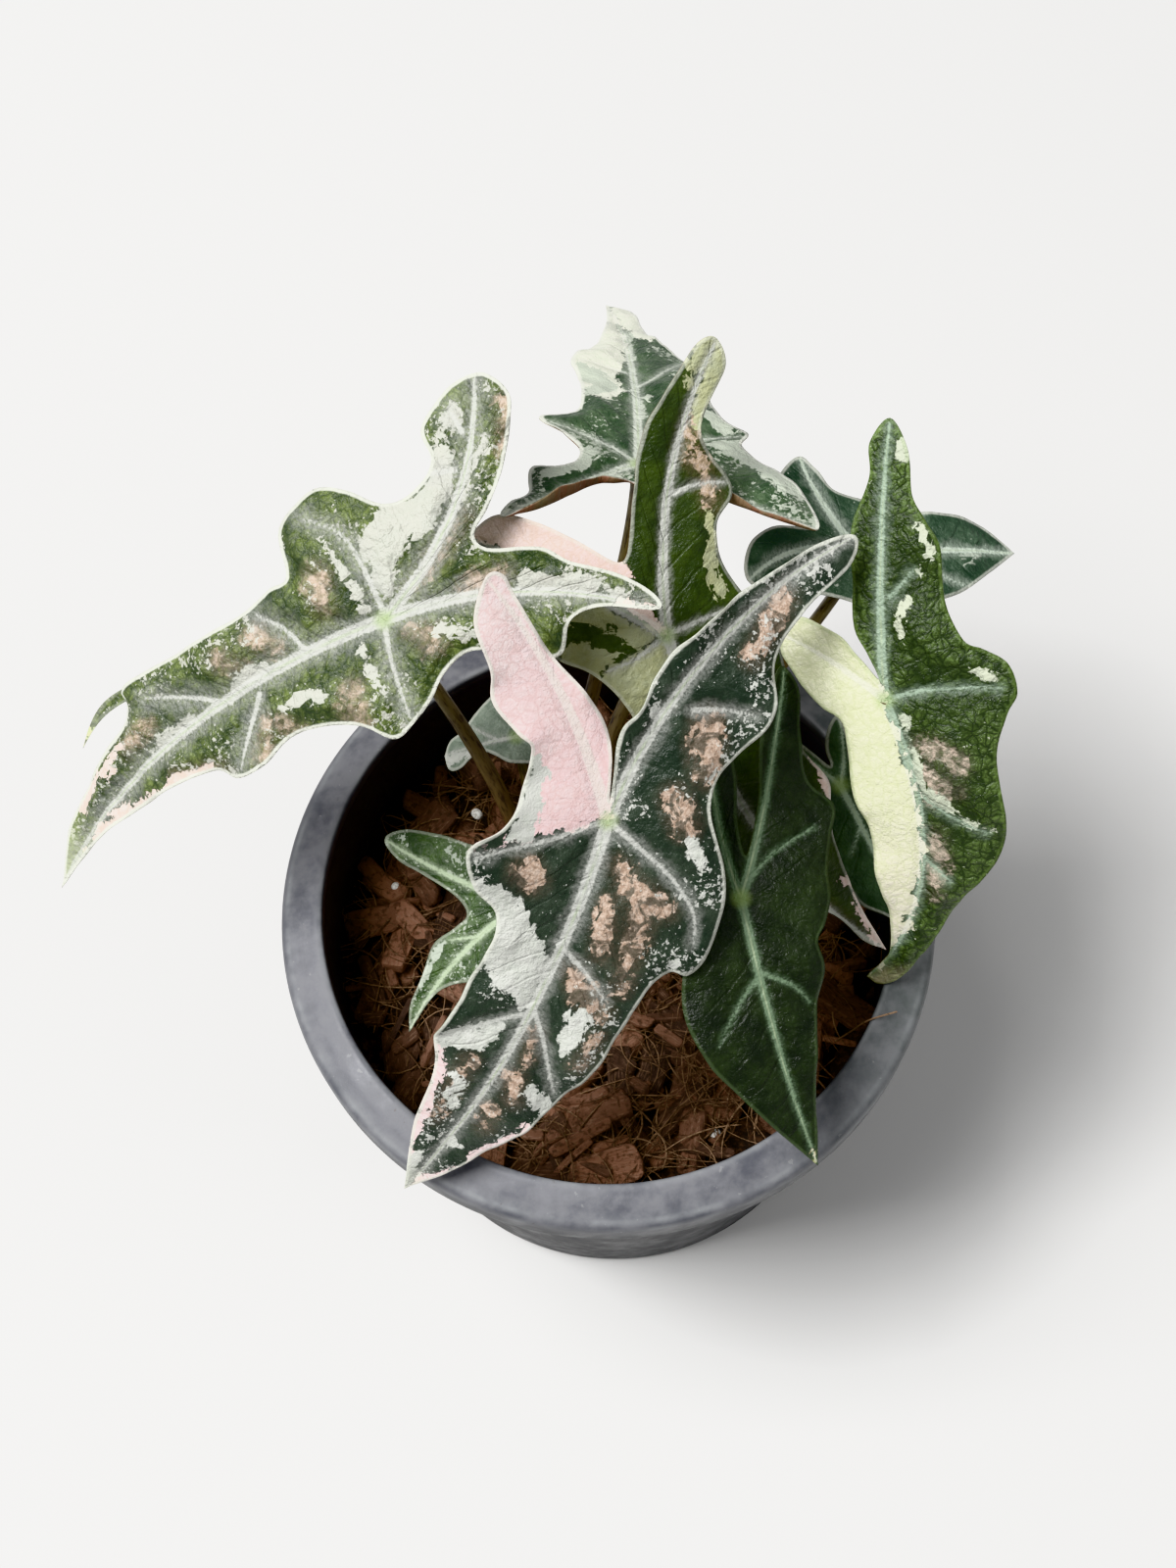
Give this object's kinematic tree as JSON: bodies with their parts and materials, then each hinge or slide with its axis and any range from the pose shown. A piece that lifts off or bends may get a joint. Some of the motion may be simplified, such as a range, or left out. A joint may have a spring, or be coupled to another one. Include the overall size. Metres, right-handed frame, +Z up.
{
  "type": "potted alocasia nobilis",
  "caption": "Small potted house plant with arrow-shaped, lobed and wavy-edged variegated leaves on slender stalks, rooted in husk mix in a tapered nursery pot.",
  "frame": {"origin": "centre of the pot's underside, on the pot's axis", "axes": "+Z up along the pot's axis; -Y towards the side from which the picture looks down; +X to the right in that view"},
  "size_m": [0.2219, 0.2191, 0.2402],
  "materials": {
    "pot": "worn satin",
    "potting_mix": "rough husk chips",
    "crown": "matt",
    "stalk_left_large": "smooth satin",
    "blade_left_large": "variegated satin leaf",
    "stalk_front_large": "smooth satin",
    "blade_front_large": "variegated satin leaf",
    "stalk_centre_dark": "smooth satin",
    "blade_centre_dark": "variegated satin leaf",
    "stalk_back_pale": "smooth satin",
    "blade_back_pale": "variegated satin leaf",
    "stalk_right_two_tone": "smooth satin",
    "blade_right_two_tone": "variegated satin leaf",
    "stalk_back_right": "smooth satin",
    "blade_back_right": "variegated satin leaf",
    "stalk_low_front_dark": "smooth satin",
    "blade_low_front_dark": "variegated satin leaf",
    "stalk_small_left": "smooth satin",
    "blade_small_left": "variegated satin leaf",
    "stalk_small_back_left": "smooth satin",
    "blade_small_back_left": "variegated satin leaf",
    "stalk_small_right_dark": "smooth satin",
    "blade_small_right_dark": "variegated satin leaf"
  },
  "bodies": {
    "root": {"pot": "pot", "potting_mix": "potting_mix", "crown": "crown", "stalk_left_large": "stalk_left_large", "blade_left_large": "blade_left_large", "stalk_front_large": "stalk_front_large", "blade_front_large": "blade_front_large", "stalk_centre_dark": "stalk_centre_dark", "blade_centre_dark": "blade_centre_dark", "stalk_back_pale": "stalk_back_pale", "blade_back_pale": "blade_back_pale", "stalk_right_two_tone": "stalk_right_two_tone", "blade_right_two_tone": "blade_right_two_tone", "stalk_back_right": "stalk_back_right", "blade_back_right": "blade_back_right", "stalk_low_front_dark": "stalk_low_front_dark", "blade_low_front_dark": "blade_low_front_dark", "stalk_small_left": "stalk_small_left", "blade_small_left": "blade_small_left", "stalk_small_back_left": "stalk_small_back_left", "blade_small_back_left": "blade_small_back_left", "stalk_small_right_dark": "stalk_small_right_dark", "blade_small_right_dark": "blade_small_right_dark"}
  },
  "joints": []
}
